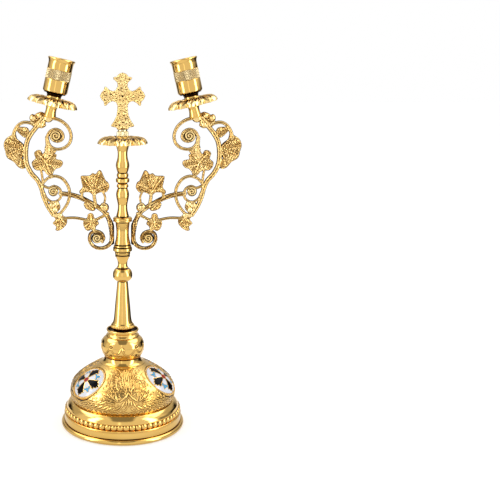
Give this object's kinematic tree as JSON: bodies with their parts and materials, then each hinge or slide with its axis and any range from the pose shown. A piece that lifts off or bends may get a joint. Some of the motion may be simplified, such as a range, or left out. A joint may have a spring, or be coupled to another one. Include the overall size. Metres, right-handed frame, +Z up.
{
  "type": "candelabrum",
  "caption": "Table candelabrum with cast vine arms, leaning candle cups, a cross finial and a domed foot with enamel medallions; the handle lifts out of the foot",
  "frame": {"origin": "middle of the circle that the foot stands on, on the resting surface", "axes": "+Z up, the two arms spread along X, the front faces -Y"},
  "size_m": [0.237, 0.1286, 0.3793],
  "materials": {
    "polished_gold": "gilt brass, polished to a mirror",
    "cast_gold": "gilt brass, fine cast texture with bright high points and darker hollows",
    "chased_gold": "gilt brass with chased and engraved ornament",
    "enamel": "glossy white, black, blue and red enamel between fine gilt wires",
    "steel": "plain turned steel",
    "iron": "rough cast weight",
    "felt": "short wool felt"
  },
  "bodies": {
    "base": {"foot": "polished_gold", "gadroon_ring": "polished_gold", "dome": "chased_gold", "collar": "polished_gold", "knob": "chased_gold", "socket_ring": "polished_gold", "socket_tube": "polished_gold", "tie_rod": "steel", "tie_nut": "steel", "ballast": "iron", "bottom_plate": "steel", "felt_pad": "felt", "bezel_right": "polished_gold", "bezel_back": "polished_gold", "bezel_left": "polished_gold", "medallion_right": "enamel", "medallion_back": "enamel", "medallion_left": "enamel"},
    "handle": {"handle_cone": "polished_gold", "handle_ball": "polished_gold", "handle_neck": "polished_gold", "hub_sleeve": "polished_gold", "centre_rod": "steel", "baluster": "polished_gold", "arm_left": "cast_gold", "arm_right": "cast_gold", "post_left": "polished_gold", "post_right": "polished_gold", "stud_left": "steel", "stud_right": "steel", "drip_pan_left": "cast_gold", "drip_pan_right": "cast_gold"},
    "collar_left": {"cup_collar_left": "polished_gold"},
    "holder_left": {"cup_left": "polished_gold"},
    "collar_right": {"cup_collar_right": "polished_gold"},
    "holder_right": {"cup_right": "polished_gold"},
    "centre_tray": {"centre_pan": "cast_gold"},
    "finial": {"finial_nut": "polished_gold", "cross": "cast_gold"}
  },
  "joints": [
    {"name": "handle_lift", "type": "slide", "parent": "base", "child": "handle", "axis": [0, 0, 1], "range_m": [0, 0.032]},
    {"name": "cup_left_turn", "type": "hinge", "parent": "handle", "child": "collar_left", "pos_m": [-0.0689, 0, 0.3339], "axis": [0.225, 0, 0.9744], "range_deg": [0, 1260]},
    {"name": "cup_left_rise", "type": "slide", "parent": "collar_left", "child": "holder_left", "axis": [0.225, 0, 0.9744], "range_m": [0, 0.0028]},
    {"name": "cup_right_turn", "type": "hinge", "parent": "handle", "child": "collar_right", "pos_m": [0.0689, 0, 0.3339], "axis": [-0.225, 0, 0.9744], "range_deg": [0, 1260]},
    {"name": "cup_right_rise", "type": "slide", "parent": "collar_right", "child": "holder_right", "axis": [-0.225, 0, 0.9744], "range_m": [0, 0.0028]},
    {"name": "finial_turn", "type": "hinge", "parent": "handle", "child": "centre_tray", "pos_m": [0, 0, 0.2935], "axis": [0, 0, 1], "range_deg": [0, 3105]},
    {"name": "finial_rise", "type": "slide", "parent": "centre_tray", "child": "finial", "axis": [0, 0, 1], "range_m": [0, 0.0069]}
  ],
  "couplings": [
    {"joint": "cup_left_rise", "follows": "cup_left_turn", "m_per_rad": 0.00012732},
    {"joint": "cup_right_rise", "follows": "cup_right_turn", "m_per_rad": 0.00012732},
    {"joint": "finial_rise", "follows": "finial_turn", "m_per_rad": 0.00012732}
  ]
}
